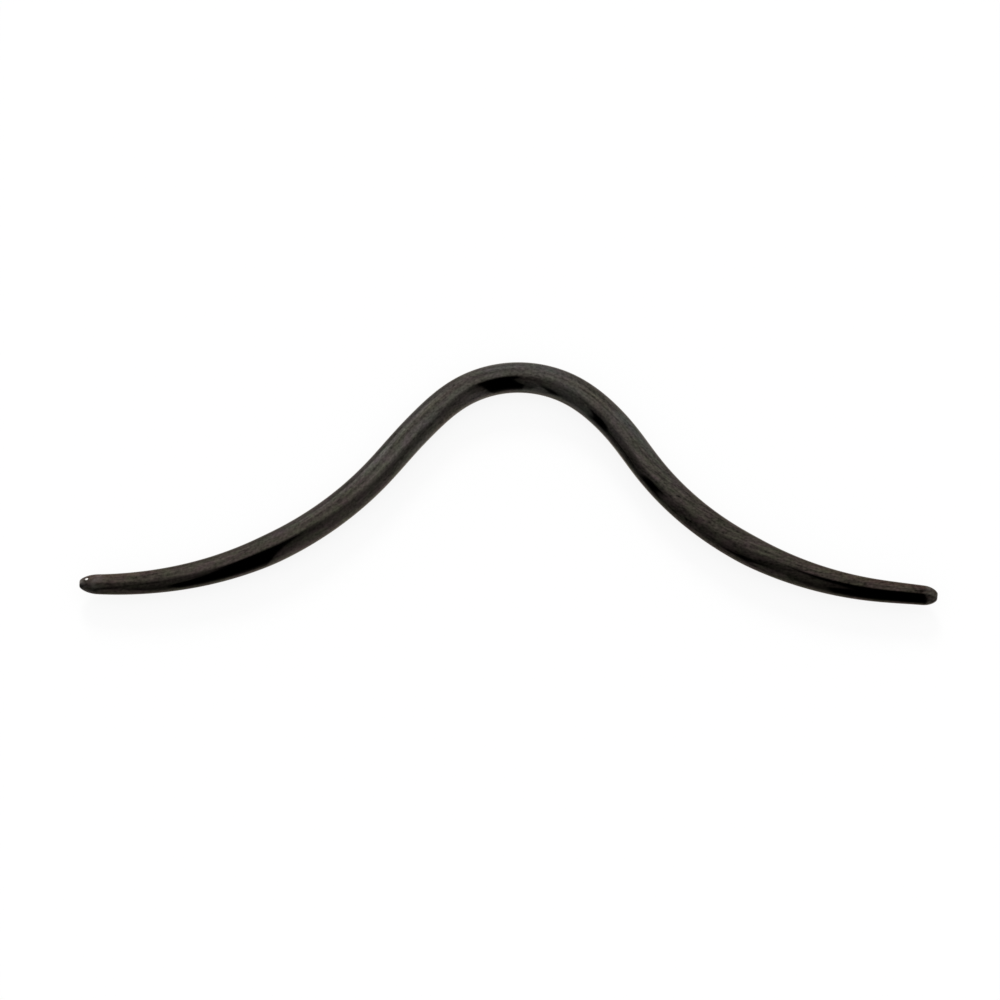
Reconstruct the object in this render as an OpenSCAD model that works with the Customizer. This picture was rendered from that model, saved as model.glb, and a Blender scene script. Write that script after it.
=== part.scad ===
// Septum bar: one round rod bent as a flattened M, tapered towards both ends, lying on its side.
// Millimetres. +X runs along its width, +Y from the tips towards the top of the arch, +Z up.
// The origin is the middle of its outline seen from above, on the surface that it lies on.

/* [Rod] */
// Diameter of the rod through the arch and both slopes, which is the gauge of the piercing
rod_d = 1.6; // [1.2:0.1:2.4]
// Diameter that each taper runs down to at its end
tip_d = 0.98; // [0.6:0.02:1.2]
// Length of the taper at each end
taper_len = 10; // [6:0.2:14]
// Distance to either side of the taper's start over which it eases into the full gauge
taper_ease = 0.5; // [0.3:0.1:3]
// Length of the rounded nose on the left tip
left_nose_len = 1.05; // [0.4:0.05:2]
// Length of the rounded nose on the right tip
right_nose_len = 0.8; // [0.4:0.05:2]
// Share of a tip's diameter that is ground flat at its very end
nose_flat = 0.35; // [0.1:0.01:0.5]

/* [Bend] */
// Length of the rod from the top of the arch to the left tip
left_len = 26.38; // [24:0.02:30]
// Length of the rod from the top of the arch to the right tip
right_len = 25.82; // [24.6:0.02:30]
// Distance over which one bend eases into the next
bend_ease = 2; // [0:0.2:4]

/* [Smoothness] */
// Sides of the round section
sides = 24; // [12:4:32]
// Largest distance between two rings of points along the rod
ring_gap = 0.45; // [0.4:0.05:1]

/* [Hidden] */

// The bends, from the left tip to the right tip. The columns are the distance along the rod from the
// top of the arch, negative on the left arm, and how steeply the rod climbs there, in degrees.
// Between two rows it is bent to one radius.
bends = [
    [-left_len, -3.7],
    [-21.4, 10.5],
    [-8.2, 52.5],
    [-4.3, 44.5],
    [4, -41],
    [7.6, -58.5],
    [14, -35.5],
    [23.5, -5.3],
    [right_len, -6.8],
];

rod_r = rod_d / 2;
tip_r = tip_d / 2;
taper_rate = (rod_r - tip_r) / taper_len;

// A nose is a quarter of an ellipse less the part before its flat. These are the shares of the nose's
// length at which rings stand, for equal angles from the edge of the flat to the start of the taper.
nose_steps = 6;
flat_angle = asin(nose_flat);
nose_shares = [
    for (k = [0:nose_steps])
        cos(flat_angle) - cos(flat_angle + (90 - flat_angle) * k / nose_steps)
];
nose_part = [for (k = [0:nose_steps - 1]) nose_shares[k]];
left_nose_end = nose_shares[nose_steps] * left_nose_len;
right_nose_end = nose_shares[nose_steps] * right_nose_len;

// Slope of the rod at a distance from the top of the arch: the mean of the bends around it
ease_steps = 3;
function slope(at) =
    let (around = [for (k = [-ease_steps:ease_steps]) lookup(at + bend_ease * k / (2 * ease_steps), bends)])
    around * [for (value = around) 1] / len(around);

// Radius of the taper at a distance from its tip, eased into the full gauge
function taper_r(from_tip) =
    let (left_to_go = taper_len + taper_ease - from_tip)
    left_to_go < 0 ? rod_r
    : left_to_go > 2 * taper_ease ? tip_r + taper_rate * from_tip
    : rod_r - taper_rate * left_to_go * left_to_go / (4 * taper_ease);

// Radius of the rod at a distance from a tip, with the nose rounded off
function rounded_r(from_tip, nose_len) =
    taper_r(from_tip) * sin(acos(max(0, cos(flat_angle) - from_tip / nose_len)));

// Radius of the rod at a distance from the top of the arch
function radius(at) =
    at < 0 ? rounded_r(left_len + at, left_nose_len)
    : rounded_r(right_len - at, right_nose_len);

// Where the rings of points stand, as distances from the top of the arch: close together on the noses
body_len = left_len - left_nose_end + right_len - right_nose_end;
body_steps = ceil(body_len / ring_gap);
stations = concat(
    [for (share = nose_part) share * left_nose_len - left_len],
    [for (k = [0:body_steps]) left_nose_end - left_len + body_len * k / body_steps],
    [for (k = [nose_steps - 1:-1:0]) right_len - nose_part[k] * right_nose_len]
);
last = len(stations) - 1;

// The middle line of the rod, walked from station to station along the slope between them
strides = [
    for (i = [1:last])
        let (
            gap = stations[i] - stations[i - 1],
            way = slope((stations[i] + stations[i - 1]) / 2)
        )
        gap * [cos(way), sin(way)]
];
line = [for (i = 0, p = [0, 0]; i <= last; p = i < last ? p + strides[i] : p, i = i + 1) p];

// The ring of points round the rod at station i, square to its slope
function ring(i) =
    let (
        r = radius(stations[i]),
        way = slope(stations[i])
    )
    [
        for (k = [0:sides - 1])
            let (
                out = r * cos(360 * k / sides),
                up = r * sin(360 * k / sides)
            )
            [line[i].x - out * sin(way), line[i].y + out * cos(way), rod_r + up]
    ];

points = [for (i = [0:last]) each ring(i)];

// Two triangles between each pair of neighbouring points on one ring and the same pair on the next
walls = [
    for (i = [0:last - 1], k = [0:sides - 1])
        let (
            a = i * sides + k,
            b = i * sides + (k + 1) % sides
        )
        each [[a, a + sides, b], [b, a + sides, b + sides]]
];
left_end = [for (k = [0:sides - 1]) k];
right_end = [for (k = [sides - 1:-1:0]) last * sides + k];

function middle(values) = (min(values) + max(values)) / 2;
outline_middle = [middle([for (p = points) p.x]), middle([for (p = points) p.y]), 0];

module bar() {
    color("#2a2622")
        translate(-outline_middle)
            polyhedron(points, concat([left_end], walls, [right_end]));
}

bar();
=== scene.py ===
"""The looks of a septum bar: one black coated rod, bent as a flattened M, tapered to both tips and lying
on its side, and the studio that it is seen in. Metres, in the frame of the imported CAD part: +X from tip to
tip, +Y from the tips to the top of the arch, +Z up from the floor."""

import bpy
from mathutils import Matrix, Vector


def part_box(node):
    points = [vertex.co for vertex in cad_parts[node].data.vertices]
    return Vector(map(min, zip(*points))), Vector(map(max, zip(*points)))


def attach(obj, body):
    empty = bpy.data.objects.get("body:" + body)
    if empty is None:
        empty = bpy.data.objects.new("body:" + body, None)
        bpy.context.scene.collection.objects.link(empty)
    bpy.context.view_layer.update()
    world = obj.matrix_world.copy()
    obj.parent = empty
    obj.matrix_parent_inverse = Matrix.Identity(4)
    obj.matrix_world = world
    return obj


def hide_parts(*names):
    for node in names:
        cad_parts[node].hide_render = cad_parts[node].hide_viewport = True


bl_info = {
    "name": "Septum bar",
    "version": (1, 0, 0),
    "blender": (4, 5, 0),
    "location": "3D View > Sidebar > Septum Bar",
    "description": "Builds a bent and tapered septum bar, its black coat, and a small studio around it",
    "category": "Add Mesh",
}

import math

import bmesh
import bpy
import numpy as np
from bpy.props import FloatProperty, FloatVectorProperty, IntProperty, PointerProperty
from mathutils import Vector

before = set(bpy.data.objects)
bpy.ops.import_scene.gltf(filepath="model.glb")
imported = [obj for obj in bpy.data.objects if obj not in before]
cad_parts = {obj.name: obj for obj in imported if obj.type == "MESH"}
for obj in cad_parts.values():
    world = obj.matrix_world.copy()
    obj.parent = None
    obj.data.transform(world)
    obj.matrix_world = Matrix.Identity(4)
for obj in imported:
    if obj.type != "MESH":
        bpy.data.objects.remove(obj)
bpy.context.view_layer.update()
cad_low, cad_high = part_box("bar")

MM = 0.001

# The bends between the two tips, in metres along the rod from the top of the arch, negative on the left
# arm, and how steeply the rod climbs there, in degrees. The slopes at the tips stand in TIP_SLOPES.
BENDS = (
    (-21.4 * MM, 10.5),
    (-8.2 * MM, 52.5),
    (-4.3 * MM, 44.5),
    (4 * MM, -41),
    (7.6 * MM, -58.5),
    (14 * MM, -35.5),
    (23.5 * MM, -5.3),
)
TIP_SLOPES = (-3.7, -6.8)
EASE_STEPS = 3


# Shader maths


class Field:
    """A socket that works in Python expressions: each operator adds the Math node that it stands for."""

    def __init__(self, wiring, socket):
        self.wiring = wiring
        self.socket = socket

    def math(self, operation, *values):
        numbers = dict(enumerate(values))
        return self.wiring.field("ShaderNodeMath", {"operation": operation}, numbers)

    def __add__(self, other):
        return self.math("ADD", self, other)

    __radd__ = __add__

    def __sub__(self, other):
        return self.math("SUBTRACT", self, other)

    def __rsub__(self, other):
        return self.math("SUBTRACT", other, self)

    def __mul__(self, other):
        return self.math("MULTIPLY", self, other)

    __rmul__ = __mul__

    def __truediv__(self, other):
        return self.math("DIVIDE", self, other)

    def __neg__(self):
        return self * -1

    def step(self, start, end):
        """0 before start, 1 after end, and smooth between them. Where end comes first, it falls instead."""
        settings = {"interpolation_type": "SMOOTHSTEP"}
        return self.wiring.field("ShaderNodeMapRange", settings, {0: self, 1: start, 2: end})

    def within(self, low, high, soft):
        """1 between low and high, with edges as wide as soft."""
        return self.step(low - soft / 2, low + soft / 2) * self.step(high + soft / 2, high - soft / 2)


class Wiring:
    """Adds nodes to one node tree and joins them up."""

    def __init__(self, tree):
        self.tree = tree
        tree.nodes.clear()

    def node(self, kind, settings=None, sockets=None):
        """A node of that kind, with its settings made first and then its sockets filled or linked."""
        made = self.tree.nodes.new(kind)
        for name, setting in (settings or {}).items():
            setattr(made, name, setting)
        for key, value in (sockets or {}).items():
            if isinstance(value, Field):
                self.tree.links.new(value.socket, made.inputs[key])
            else:
                made.inputs[key].default_value = value
        return made

    def field(self, kind, settings=None, sockets=None, output=0):
        """The same, as a value: one output of the new node."""
        return Field(self, self.node(kind, settings, sockets).outputs[output])

    def blend(self, share, first, second):
        """A colour that goes from first to second as share goes from 0 to 1."""
        # For colours, a Mix node's factor and its two colours are inputs 0, 6 and 7, and it gives output 2.
        settings = {"data_type": "RGBA"}
        return self.field("ShaderNodeMix", settings, {0: share, 6: first, 7: second}, output=2)

    def shade(self, colour, factor):
        """A colour made lighter or darker by a factor."""
        return self.field("ShaderNodeVectorMath", {"operation": "SCALE"}, {0: colour, 3: factor})

    def vector(self, operation, first, second):
        """Vector Math on two colours or vectors, channel by channel."""
        return self.field("ShaderNodeVectorMath", {"operation": operation}, {0: first, 1: second})


def solid(colour):
    """A colour with its alpha, as sockets want it."""
    return (*colour, 1.0)


# Rod


class SeptumRod(bpy.types.PropertyGroup):
    """Sizes of the rod. Its gauge and its place come from the CAD part."""

    tip_d: FloatProperty(
        name="Tip diameter",
        description="Diameter that each taper runs down to at its end",
        default=0.98 * MM,
        unit="LENGTH",
    )
    taper_len: FloatProperty(
        name="Taper length",
        description="Length of the taper at each end",
        default=10 * MM,
        unit="LENGTH",
    )
    taper_ease: FloatProperty(
        name="Taper ease",
        description="Distance to either side of the taper's start over which it eases into the gauge",
        default=0.5 * MM,
        unit="LENGTH",
    )
    left_nose_len: FloatProperty(
        name="Left nose",
        description="Length of the rounded nose on the left tip",
        default=1.05 * MM,
        unit="LENGTH",
    )
    right_nose_len: FloatProperty(
        name="Right nose",
        description="Length of the rounded nose on the right tip",
        default=0.8 * MM,
        unit="LENGTH",
    )
    nose_flat: FloatProperty(
        name="Flat of the nose",
        description="Share of a tip's diameter that is ground flat at its very end",
        default=0.35,
        subtype="FACTOR",
        min=0.05,
        max=0.8,
    )
    flat_rim: FloatProperty(
        name="Rim of the flat",
        description="Width over which the edge of the ground flat is rounded off",
        default=0.06 * MM,
        unit="LENGTH",
    )
    left_len: FloatProperty(
        name="Left length",
        description="Length of the rod from the top of the arch to the left tip",
        default=26.38 * MM,
        unit="LENGTH",
    )
    right_len: FloatProperty(
        name="Right length",
        description="Length of the rod from the top of the arch to the right tip",
        default=25.82 * MM,
        unit="LENGTH",
    )
    bend_ease: FloatProperty(
        name="Bend ease",
        description="Distance over which one bend eases into the next",
        default=2 * MM,
        unit="LENGTH",
    )
    sides: IntProperty(
        name="Sides",
        description="Sides of the round section",
        default=96,
        min=12,
    )
    ring_gap: FloatProperty(
        name="Ring gap",
        description="Largest distance between two rings of points along the rod",
        default=0.12 * MM,
        unit="LENGTH",
    )


class BlackCoat(bpy.types.PropertyGroup):
    """The thin hard coat on the steel, and the marks that polishing left along it."""

    warm: FloatVectorProperty(
        name="Warm tone",
        description="Colour of the coat where it leans to brown",
        default=(0.0600, 0.0510, 0.0415),
        size=3,
        subtype="COLOR",
    )
    cool: FloatVectorProperty(
        name="Cool tone",
        description="Colour of the coat where it leans to grey",
        default=(0.0535, 0.0522, 0.0475),
        size=3,
        subtype="COLOR",
    )
    tip_tone: FloatVectorProperty(
        name="Tip tone",
        description="Colour of the coat where it is worn thin, towards the tips",
        default=(0.0466, 0.0402, 0.0332),
        size=3,
        subtype="COLOR",
    )
    brown_tone: FloatVectorProperty(
        name="Brown tone",
        description="Colour that the coat goes towards close to the tips, most of all along their back",
        default=(0.0530, 0.0382, 0.0288),
        size=3,
        subtype="COLOR",
    )
    # Bare steel colours both the rubbed noses and the painted glint on the left nose.
    steel: FloatVectorProperty(
        name="Bare steel",
        description="Colour of the steel where the coat is rubbed or chipped off",
        default=(0.75, 0.73, 0.70),
        size=3,
        subtype="COLOR",
    )
    edge_tint: FloatVectorProperty(
        name="Edge tint",
        description="Tint of the reflections at a glancing angle",
        default=(0.60, 0.58, 0.56),
        size=3,
        subtype="COLOR",
    )
    nose_roughness: FloatProperty(
        name="Nose roughness",
        description="Roughness that grinding adds on the rounded noses",
        default=0.22,
        subtype="FACTOR",
        min=0,
        max=1,
    )
    roughness: FloatProperty(
        name="Roughness",
        description="Mean roughness of the polished coat",
        default=0.07,
        subtype="FACTOR",
        min=0,
        max=1,
    )
    grain_depth: FloatProperty(
        name="Grain depth",
        description="Depth of the fine lengthwise polishing marks",
        default=0.0002 * MM,
        unit="LENGTH",
        precision=6,
    )
    wave_depth: FloatProperty(
        name="Wave depth",
        description="Depth of the shallow waves that hand polishing leaves",
        default=0.005 * MM,
        unit="LENGTH",
        precision=6,
    )


def rod_radius():
    """Radius of the full gauge: half the height of the CAD rod, which lies flat."""
    return (cad_high.z - cad_low.z) / 2


def slope_at(at, sizes):
    """Slope of the rod, in radians, at distances from the top of the arch: the mean of the bends around."""
    places = [-sizes.left_len, *[place for place, _ in BENDS], sizes.right_len]
    slopes = [TIP_SLOPES[0], *[slope for _, slope in BENDS], TIP_SLOPES[1]]
    shifts = [sizes.bend_ease * k / (2 * EASE_STEPS) for k in range(-EASE_STEPS, EASE_STEPS + 1)]
    return np.radians(np.mean([np.interp(at + shift, places, slopes) for shift in shifts], axis=0))


def taper_radius(from_tip, sizes):
    """Radius of the taper at distances from its tip, eased into the full gauge."""
    full, tip = rod_radius(), sizes.tip_d / 2
    rate = (full - tip) / sizes.taper_len
    left_to_go = sizes.taper_len + sizes.taper_ease - from_tip
    eased = full - rate * left_to_go**2 / (4 * sizes.taper_ease)
    ranges = [left_to_go < 0, left_to_go > 2 * sizes.taper_ease]
    return np.select(ranges, [full, tip + rate * from_tip], eased)


def nose_profile(nose_len, sizes):
    """Distances from a tip and radii, from inside its ground flat, over the rounded rim, along the nose."""
    dome_steps, rim_steps = 18, 5
    flat_angle = math.asin(sizes.nose_flat)
    angles = np.linspace(flat_angle, math.pi / 2, dome_steps + 1)
    dome_at = nose_len * (math.cos(flat_angle) - np.cos(angles))
    dome_r = taper_radius(dome_at, sizes) * np.sin(angles)
    flat_r = dome_r[0]
    # The rim is a curve that starts on the flat and ends on the dome, with the sharp corner as its handle.
    run = np.hypot(dome_at - dome_at[0], dome_r - flat_r)
    rim_at, rim_r = (np.interp(sizes.flat_rim, run, values) for values in (dome_at, dome_r))
    share = np.linspace(0, 1, rim_steps + 1)
    start_r = flat_r - sizes.flat_rim
    curve_at = share**2 * rim_at
    curve_r = (1 - share) ** 2 * start_r + 2 * share * (1 - share) * flat_r + share**2 * rim_r
    # The dome's own rings start a little past the rim, so that no two rings lie too close together.
    beyond = run > 1.3 * sizes.flat_rim
    at = np.concatenate([[0], curve_at, dome_at[beyond]])
    return at, np.concatenate([[start_r / 2], curve_r, dome_r[beyond]])


def rod_rings(sizes):
    """For each ring of points: its distance from the top of the arch, and its radius."""
    left_at, left_r = nose_profile(sizes.left_nose_len, sizes)
    right_at, right_r = nose_profile(sizes.right_nose_len, sizes)
    start, end = left_at[-1] - sizes.left_len, sizes.right_len - right_at[-1]
    steps = math.ceil((end - start) / sizes.ring_gap)
    body_at = np.linspace(start, end, steps + 1)[1:-1]
    from_tip = np.where(body_at < 0, sizes.left_len + body_at, sizes.right_len - body_at)
    at = np.concatenate([left_at - sizes.left_len, body_at, (sizes.right_len - right_at)[::-1]])
    return at, np.concatenate([left_r, taper_radius(from_tip, sizes), right_r[::-1]])


def middle_line(at, sizes):
    """Where the rod's middle line is, and its slope, at distances from the top of the arch."""
    walk_step = 0.02 * MM
    count = math.ceil((sizes.left_len + sizes.right_len) / walk_step)
    walk = np.linspace(-sizes.left_len, sizes.right_len, count + 1)
    stride = walk[1] - walk[0]
    ways = slope_at(walk[:-1] + stride / 2, sizes)
    xs = np.concatenate([[0], np.cumsum(np.cos(ways))]) * stride
    ys = np.concatenate([[0], np.cumsum(np.sin(ways))]) * stride
    return np.interp(at, walk, xs), np.interp(at, walk, ys), slope_at(at, sizes)


def rod_points(sizes):
    """All points of the rod, ring by ring and then the middle of each end, and for each point its place on
    the rod as if it were straight: the distance along it, and how far out and up it is from the middle."""
    at, radius = rod_rings(sizes)
    line_x, line_y, way = middle_line(at, sizes)
    turn = np.linspace(0, 2 * math.pi, sizes.sides, endpoint=False)
    out = np.outer(radius, np.cos(turn))
    up = np.outer(radius, np.sin(turn))
    x = line_x[:, None] - out * np.sin(way)[:, None]
    y = line_y[:, None] + out * np.cos(way)[:, None]
    rings = np.stack([x, y, up], axis=-1).reshape(-1, 3)
    along = np.repeat(at[:, None], sizes.sides, axis=1)
    places = np.stack([along, out, up], axis=-1).reshape(-1, 3)
    ends = [[line_x[i], line_y[i], 0] for i in (0, -1)]
    end_places = [[at[i], 0, 0] for i in (0, -1)]
    return np.concatenate([rings, ends]), np.concatenate([places, end_places]), len(at)


def rod_faces(rings, sides):
    """A quad between each pair of neighbours on one ring and the same pair on the next, and a fan on each
    end round its middle point."""
    faces = []
    for side in range(sides):
        beside = (side + 1) % sides
        for ring in range(rings - 1):
            a, b = ring * sides, (ring + 1) * sides
            faces.append((a + side, b + side, b + beside, a + beside))
        last = (rings - 1) * sides
        faces.append((rings * sides, side, beside))
        faces.append((rings * sides + 1, last + beside, last + side))
    return faces


def rod_mesh(sizes):
    """The rod as a mesh, in its place in the frame, with its straightened places as an attribute."""
    points, places, rings = rod_points(sizes)
    low, high = points.min(axis=0), points.max(axis=0)
    points += np.array((cad_low + cad_high) / 2) - (low + high) / 2
    mesh = bpy.data.meshes.new("septum_rod")
    mesh.from_pydata(points.tolist(), [], rod_faces(rings, sizes.sides))
    shape = bmesh.new()
    shape.from_mesh(mesh)
    bmesh.ops.recalc_face_normals(shape, faces=shape.faces)
    shape.to_mesh(mesh)
    shape.free()
    mesh.shade_smooth()
    attribute = mesh.attributes.new("rod_place", "FLOAT_VECTOR", "POINT")
    attribute.data.foreach_set("vector", places.astype(np.float32).ravel())
    return mesh


def black_coat(coat, sizes):
    """Hard black coat on polished steel: a dark metal with fine marks along the rod, slightly warm, cool,
    green and pink patches, browner towards the tips, a painted cool tint of the reflection on the back of
    the arch and its slopes, and shallow waves that bend what it mirrors. The noses are ground, with the coat
    rubbed thin, and the left one has a painted glint: a small spot of bare-steel colour."""
    material = bpy.data.materials.new("black_coat")
    material.use_nodes = True
    wiring = Wiring(material.node_tree)
    settings = {"attribute_type": "GEOMETRY", "attribute_name": "rod_place"}
    place = wiring.field("ShaderNodeAttribute", settings, output=1)
    split = wiring.node("ShaderNodeSeparateXYZ", {}, {0: place})
    along, out, up = (Field(wiring, split.outputs[k]) for k in range(3))

    # The marks run along the rod, and a little askew on the right arm.
    past_arch = along - 6 * MM
    askew = 0.2 * past_arch.math("MAXIMUM", past_arch, 0)
    marked_place = wiring.field("ShaderNodeCombineXYZ", {}, {0: along, 1: out - askew, 2: up})

    def marks(length, width, detail, softness):
        """Noise drawn out along the rod: each mark is about so long and so wide."""
        drawn = wiring.vector("MULTIPLY", marked_place, (1 / length, 1 / width, 1 / width))
        sockets = {"Vector": drawn, "Scale": 1.0, "Detail": detail, "Roughness": softness}
        return wiring.field("ShaderNodeTexNoise", {}, sockets) - 0.5

    grain = marks(0.16 * MM, 0.11 * MM, 1.0, 0.6)
    flecks = marks(0.7 * MM, 0.3 * MM, 2.0, 0.6)
    streaks = marks(2.2 * MM, 0.13 * MM, 2.0, 0.6)
    bands = marks(9 * MM, 0.28 * MM, 1.0, 0.5)
    patches = marks(3.5 * MM, 0.9 * MM, 2.0, 0.5)
    hues = marks(0.9 * MM, 0.4 * MM, 2.0, 0.6)
    waves = marks(3.2 * MM, 1.1 * MM, 1.0, 0.4)

    # The coat is worn thin away from the arch, and browned close to the tips, most of all on their back.
    left_end, right_end = along + sizes.left_len, sizes.right_len - along
    worn = along.math("ABSOLUTE", along).step(4 * MM, 14 * MM)
    browned = left_end.step(6 * MM, 0) + right_end.step(10 * MM, 1 * MM)
    browned = browned * (0.35 + 0.65 * out.step(0.05 * MM, 0.3 * MM))
    middle_tone = wiring.blend(patches * 2.8 + 0.5, solid(coat.warm), solid(coat.cool))
    tone = wiring.blend(worn + 0.4 * patches, middle_tone, solid(coat.tip_tone))
    tone = wiring.blend(browned, tone, solid(coat.brown_tone))
    pink, green = (1.04, 0.91, 1.05), (0.96, 1.09, 0.95)
    cast = wiring.blend(hues * (1.9 + 1.1 * worn) + 0.5, solid(pink), solid(green))
    tone = wiring.vector("MULTIPLY", tone, cast)
    # Painted cool reflection: the back of the arch and its slopes is tinted bluer, standing in for a cool
    # light mirrored there.
    back = out.step(0.1 * MM, 0.3 * MM) * along.within(-17 * MM, 10.5 * MM, 4 * MM)
    plain, painted_cool_tint = (1, 1, 1), (0.96, 1, 1.05)
    tone = wiring.vector("MULTIPLY", tone, wiring.blend(back, solid(plain), solid(painted_cool_tint)))

    # It is a little darker on the right slope and arm, and its marks are stronger there.
    shading = 1 - 0.10 * along.step(0, 10 * MM) - 0.11 * along.step(8 * MM, 18 * MM)
    strength = 1 + 0.25 * along.step(4 * MM, 12 * MM)
    marked = 1 + strength * (1.5 * grain + 0.7 * flecks + 1.1 * streaks + 0.8 * bands + 0.6 * patches)
    colour = wiring.shade(tone, shading * marked)

    # The noses are ground: the steel shows through a little, in flecks, and evenly at the very end of the
    # left one.
    ground = left_end.step(1.5 * MM, 0.7 * MM) + right_end.step(0.8 * MM, 0.4 * MM)
    rubbed = ground * (0.03 + 0.25 * flecks) + 0.04 * left_end.step(0.4 * MM, 0.1 * MM)
    colour = wiring.blend(rubbed, colour, solid(coat.steel))

    # The painted glint is a small ellipse of bare-steel colour, longer along the rod than across it.
    glint_middle = (-sizes.left_len + 0.37 * MM, 0.11 * MM, 0.39 * MM)
    glint_size = (0.08 * MM, 0.05 * MM, 0.05 * MM)
    from_glint = wiring.vector("DIVIDE", wiring.vector("SUBTRACT", place, glint_middle), glint_size)
    distance = wiring.field("ShaderNodeVectorMath", {"operation": "LENGTH"}, {0: from_glint}, output=1)
    colour = wiring.blend(distance.step(1.4, 0.8), colour, solid(coat.steel))

    roughness = coat.roughness + 0.06 * bands + 0.04 * streaks + coat.nose_roughness * ground
    height = coat.grain_depth / MM * (streaks + 2 * bands) + coat.wave_depth / MM * waves
    normal = wiring.field("ShaderNodeBump", {}, {"Strength": 1.0, "Distance": MM, "Height": height})
    sockets = {
        "Base Color": colour,
        "Metallic": 1.0,
        "Roughness": roughness,
        "Specular Tint": solid(coat.edge_tint),
        "Normal": normal,
    }
    surface = wiring.field("ShaderNodeBsdfPrincipled", {}, sockets)
    wiring.node("ShaderNodeOutputMaterial", {}, {"Surface": surface})
    return material


class SEPTUM_OT_make_rod(bpy.types.Operator):
    """Build the bent and tapered rod with its black coat, in place of the plain CAD rod"""

    bl_idname = "septum.make_rod"
    bl_label = "Make Rod"
    bl_options = {"REGISTER", "UNDO"}

    def execute(self, context):
        sizes, coat = context.scene.septum_rod, context.scene.black_coat
        rod = bpy.data.objects.new("septum_rod", rod_mesh(sizes))
        context.scene.collection.objects.link(rod)
        rod.data.materials.append(black_coat(coat, sizes))
        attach(rod, "root")
        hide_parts("bar")
        return {"FINISHED"}


# Studio


class SeptumStudio(bpy.types.PropertyGroup):
    """Camera, floor and light."""

    camera_tilt: FloatProperty(
        name="Camera tilt",
        description="How far the camera leans from straight above towards the tips",
        default=math.radians(23),
        subtype="ANGLE",
    )
    lens: FloatProperty(
        name="Focal length",
        description="Focal length of the camera in millimetres",
        default=400,
        subtype="DISTANCE_CAMERA",
    )
    frame_width: FloatProperty(
        name="Frame width",
        description="Width of the view at the rod",
        default=51.37 * MM,
        unit="LENGTH",
    )
    aim: FloatVectorProperty(
        name="Aim",
        description="Middle of the view, at the height of the rod's middle line",
        default=(-0.4348 * MM, -0.9280 * MM),
        size=2,
        unit="LENGTH",
    )
    floor_size: FloatProperty(
        name="Floor size",
        description="Length of the floor's side",
        default=8,
        unit="LENGTH",
    )
    floor_glow: FloatProperty(
        name="Floor glow",
        description="Light that the pale floor gives by itself, as over a light table",
        default=0.874,
        min=0,
    )
    floor_white: FloatProperty(
        name="Floor reflectance",
        description="Share of the light from above that the floor sends back, which shadows take away",
        default=0.10,
        subtype="FACTOR",
        min=0,
        max=1,
    )
    lamp_power: FloatProperty(
        name="Lamp",
        description="Strength of the lamp behind the arch that draws the soft shadow",
        default=1.9,
        min=0,
    )
    tent_radius: FloatProperty(
        name="Tent radius",
        description="Radius of the light tent that the polished rod mirrors",
        default=137 * MM,
        unit="LENGTH",
    )
    tent_middle: FloatVectorProperty(
        name="Tent middle",
        description="Where the middle of the tent is: it stands nearer to the rod in front and on the left",
        default=(58.5 * MM, 39 * MM, 5 * MM),
        size=3,
        unit="LENGTH",
    )
    tent_light: FloatProperty(
        name="Tent light",
        description="Brightness of the tent's bright cloth, of which the rest of its pattern is a share",
        default=1.1,
        min=0,
    )


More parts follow.
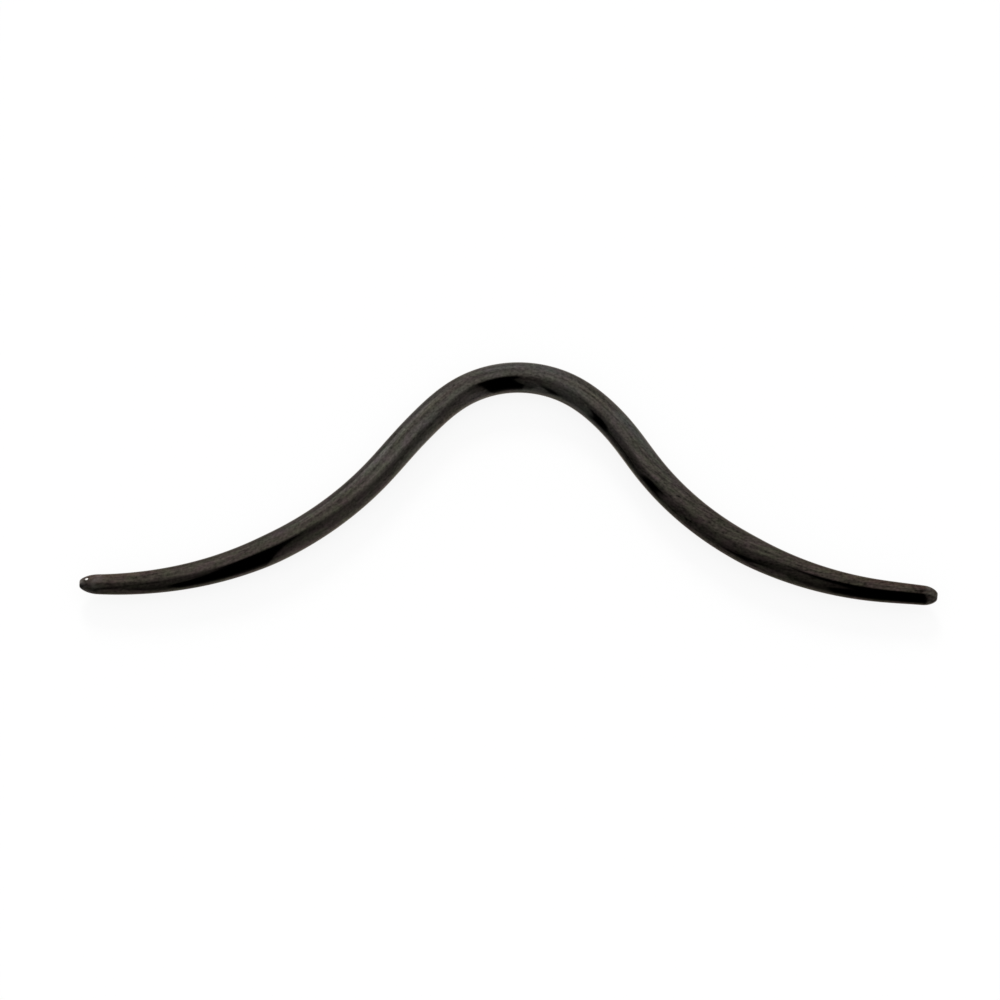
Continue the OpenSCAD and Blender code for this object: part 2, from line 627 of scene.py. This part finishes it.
def tent_material(studio):
    """Cloth of a light tent, lit from behind the arch and overhead and dim in front, where its dark opening
    for the camera is, with a narrow dark slit, a thin dark seam and a soft fold to the left of that."""
    material = bpy.data.materials.new("tent_cloth")
    material.use_nodes = True
    wiring = Wiring(material.node_tree)
    position = wiring.field("ShaderNodeNewGeometry", output=0)
    towards = wiring.field("ShaderNodeVectorMath", {"operation": "NORMALIZE"}, {0: position})
    split = wiring.node("ShaderNodeSeparateXYZ", {}, {0: towards})
    x, y, z = (Field(wiring, split.outputs[k]) for k in range(3))

    # Directions are laid out flat: the distance from the middle is the angle from straight up, in degrees,
    # with +Y of the frame as back and +X as side.
    lean = z.math("ARCCOSINE", z) * math.degrees(1)
    round_front = x.math("ARCTAN2", x, -y)
    side = lean * x.math("SINE", round_front)
    front = lean * x.math("COSINE", round_front)
    turned = round_front * math.degrees(1)

    def patch(sides, fronts, side_soft=8, front_soft=8):
        """1 on a patch of cloth between two angles to the side and two to the front, with soft edges."""
        return side.within(*sides, side_soft) * front.within(*fronts, front_soft)

    # The opening is a wedge that leans to the right. Its right edge is where right is about 13, and its
    # left edge is where left is about 2.
    right = side - 0.351 * front
    left = side + 2.5 * front.step(33, 22) + 9 * front.step(47.5, 85)

    # The cloth in front is dim. It is lighter to the right, low down on the left, and high up on the left
    # of the opening, and darker close to the opening's right edge.
    dim = 0.10 + 0.40 * side.step(-2, 40) - 0.17 * side.within(39, 80, 24) * front.step(60, 30)
    dim = dim + 0.27 * patch((-45, -22), (78, 116), 9, 26)
    dim = dim + 0.09 * side.within(-110, -62, 12) * front.step(38, 60)
    dim = dim + 0.28 * side.step(-106, -36.5) * side.step(6, -10) * front.step(95, 17)
    dim = dim * (1 - 0.51 * right.step(35.5, 12.7) * side.step(0, 10))

    # The cloth behind the arch and overhead is bright. A lamp shines through it low down on the left, with
    # duller and brighter patches beside it.
    bright = 1 + 0.17 * side.within(-29, 22.5, 14) * front.step(-26.5, -41.5)
    bright = bright + 0.74 * patch((-48, -29), (-63.7, -38.6))
    bright = bright - 0.46 * patch((-11, 1), (-48, -33.5), 16, 14)
    bright = bright + 0.13 * patch((-8, 18), (-72, -42), 10, 12)
    bright = bright + 0.15 * patch((-36, -13), (-50, -31))
    bright = bright - 0.26 * patch((-20, -11), (-59, -49))
    bright = bright - 0.26 * patch((5, 20), (-33, -23))
    bright = bright + 0.22 * patch((-13, 4), (-74, -56))
    bright = bright + 0.22 * patch((12, 30), (-6, 9))
    bright = bright - 0.15 * side.step(-32, -50) * front.step(-60, -78)

    # The dim cloth goes over into the bright cloth a little in front of straight up, and further back on the
    # left.
    lit = (front + 13 * side.step(-22, -42)).step(24, -6.7)
    cloth = dim + (bright - dim) * lit

    # The opening is dark. The slit and the seam run down on its left, and a soft fold runs from the seam up
    # to the opening.
    opening = front.step(-4, 16) * front.step(140, 116) * left.step(0, 4) * right.step(14.7, 10.7)
    slit = turned.within(-69.5, -61.3, 3) * lean.step(41, 64)
    seam = (turned + 0.19 * (lean - 77)).within(-30.5, -20.5, 4) * lean.step(56, 84) * lean.step(122, 95)
    fold = (side + 0.5 * front - 7).within(-4, 4, 6) * front.within(26, 66, 14)
    shut = (1 - opening) * (1 - slit) * (1 - 0.93 * seam) * (1 - 0.45 * fold)

    # Below the rod the tent is pale, since the rod mirrors it there in place of the floor.
    below = 0.72 * lean.step(98.5, 160) * (1 - 0.6 * opening)
    sockets = {"Color": cloth * shut + below, "Strength": studio.tent_light}
    glow = wiring.field("ShaderNodeEmission", {}, sockets)
    wiring.node("ShaderNodeOutputMaterial", {}, {"Surface": glow})
    return material


def make_tent(studio):
    """A closed ball of tent cloth that only mirrored light meets, so that it hides nothing from the camera
    and throws no shadow."""
    mesh = bpy.data.meshes.new("light_tent")
    shape = bmesh.new()
    bmesh.ops.create_uvsphere(shape, u_segments=96, v_segments=64, radius=studio.tent_radius)
    shape.to_mesh(mesh)
    shape.free()
    mesh.shade_smooth()
    tent = bpy.data.objects.new("light_tent", mesh)
    tent.location = studio.tent_middle
    bpy.context.scene.collection.objects.link(tent)
    mesh.materials.append(tent_material(studio))
    tent.visible_camera = False
    tent.visible_diffuse = False
    tent.visible_shadow = False
    tent.visible_transmission = False


def make_floor(studio):
    """A wide pale floor that mostly glows by itself, so that shadows on it stay faint."""
    half = studio.floor_size / 2
    corners = [(-half, -half, 0), (half, -half, 0), (half, half, 0), (-half, half, 0)]
    mesh = bpy.data.meshes.new("pale_floor")
    mesh.from_pydata(corners, [], [(0, 1, 2, 3)])
    floor = bpy.data.objects.new("pale_floor", mesh)
    floor.location.z = cad_low.z
    bpy.context.scene.collection.objects.link(floor)

    material = bpy.data.materials.new("pale_floor")
    material.use_nodes = True
    wiring = Wiring(material.node_tree)
    white = studio.floor_white
    cover = wiring.field("ShaderNodeBsdfDiffuse", {}, {"Color": solid((white, white, white))})
    glow = wiring.field("ShaderNodeEmission", {}, {"Strength": studio.floor_glow})
    both = wiring.field("ShaderNodeAddShader", {}, {0: cover, 1: glow})
    wiring.node("ShaderNodeOutputMaterial", {}, {"Surface": both})
    mesh.materials.append(material)
    # The rod mirrors the lower half of the tent in its place.
    floor.visible_glossy = False


def make_lights(studio):
    """An even white sky, and one soft lamp low behind the arch and a little to the left."""
    world = bpy.data.worlds.new("white_sky")
    bpy.context.scene.world = world
    world.use_nodes = True
    wiring = Wiring(world.node_tree)
    sky = wiring.field("ShaderNodeBackground", {}, {"Color": solid((1, 1, 1)), "Strength": 1.0})
    wiring.node("ShaderNodeOutputWorld", {}, {"Surface": sky})

    light = bpy.data.lights.new("back_lamp", "SUN")
    light.energy = studio.lamp_power
    softness, lean, towards_left = (math.radians(angle) for angle in (16, 60, 6))
    light.angle = softness
    lamp = bpy.data.objects.new("back_lamp", light)
    away = Vector(
        (
            -math.sin(lean) * math.sin(towards_left),
            math.sin(lean) * math.cos(towards_left),
            math.cos(lean),
        )
    )
    lamp.rotation_euler = away.to_track_quat("Z", "Y").to_euler()
    lamp.location = away * 0.2
    lamp.visible_glossy = False
    bpy.context.scene.collection.objects.link(lamp)


def make_camera(studio):
    """A long lens above the tips' side, looking down at the rod."""
    lens = bpy.data.cameras.new("camera")
    lens.sensor_width = 36
    lens.lens = studio.lens
    lens.clip_start = 0.01
    lens.clip_end = 50
    camera = bpy.data.objects.new("camera", lens)
    tilt = studio.camera_tilt
    distance = studio.lens / lens.sensor_width * studio.frame_width
    target = Vector((studio.aim[0], studio.aim[1], (cad_low.z + cad_high.z) / 2))
    camera.location = target + Vector((0, -math.sin(tilt), math.cos(tilt))) * distance
    camera.rotation_euler = (tilt, 0, 0)
    bpy.context.scene.collection.objects.link(camera)
    bpy.context.scene.camera = camera


class SEPTUM_OT_make_studio(bpy.types.Operator):
    """Build the pale floor, the light tent, the lamp and the camera"""

    bl_idname = "septum.make_studio"
    bl_label = "Make Studio"
    bl_options = {"REGISTER", "UNDO"}

    def execute(self, context):
        studio = context.scene.septum_studio
        make_floor(studio)
        make_tent(studio)
        make_lights(studio)
        make_camera(studio)
        context.scene.view_settings.view_transform = "Standard"
        return {"FINISHED"}


# Add-on


class SEPTUM_PT_sidebar(bpy.types.Panel):
    """The rod and its studio, with the sizes and colours that each is made from"""

    bl_label = "Septum Bar"
    bl_idname = "SEPTUM_PT_sidebar"
    bl_space_type = "VIEW_3D"
    bl_region_type = "UI"
    bl_category = "Septum Bar"

    def draw(self, context):
        scene = context.scene
        parts = (
            (SEPTUM_OT_make_rod, (scene.septum_rod, scene.black_coat)),
            (SEPTUM_OT_make_studio, (scene.septum_studio,)),
        )
        for operator, groups in parts:
            box = self.layout.box()
            for group in groups:
                for name in group.__annotations__:
                    box.prop(group, name)
            box.operator(operator.bl_idname)


CLASSES = (
    SeptumRod,
    BlackCoat,
    SeptumStudio,
    SEPTUM_OT_make_rod,
    SEPTUM_OT_make_studio,
    SEPTUM_PT_sidebar,
)
GROUPS = {"septum_rod": SeptumRod, "black_coat": BlackCoat, "septum_studio": SeptumStudio}


def register():
    for cls in CLASSES:
        bpy.utils.register_class(cls)
    for name, group in GROUPS.items():
        setattr(bpy.types.Scene, name, PointerProperty(type=group))


def unregister():
    for name in GROUPS:
        delattr(bpy.types.Scene, name)
    for cls in reversed(CLASSES):
        bpy.utils.unregister_class(cls)


def main():
    register()
    bpy.ops.septum.make_rod()
    bpy.ops.septum.make_studio()


if __name__ == "__main__":
    main()
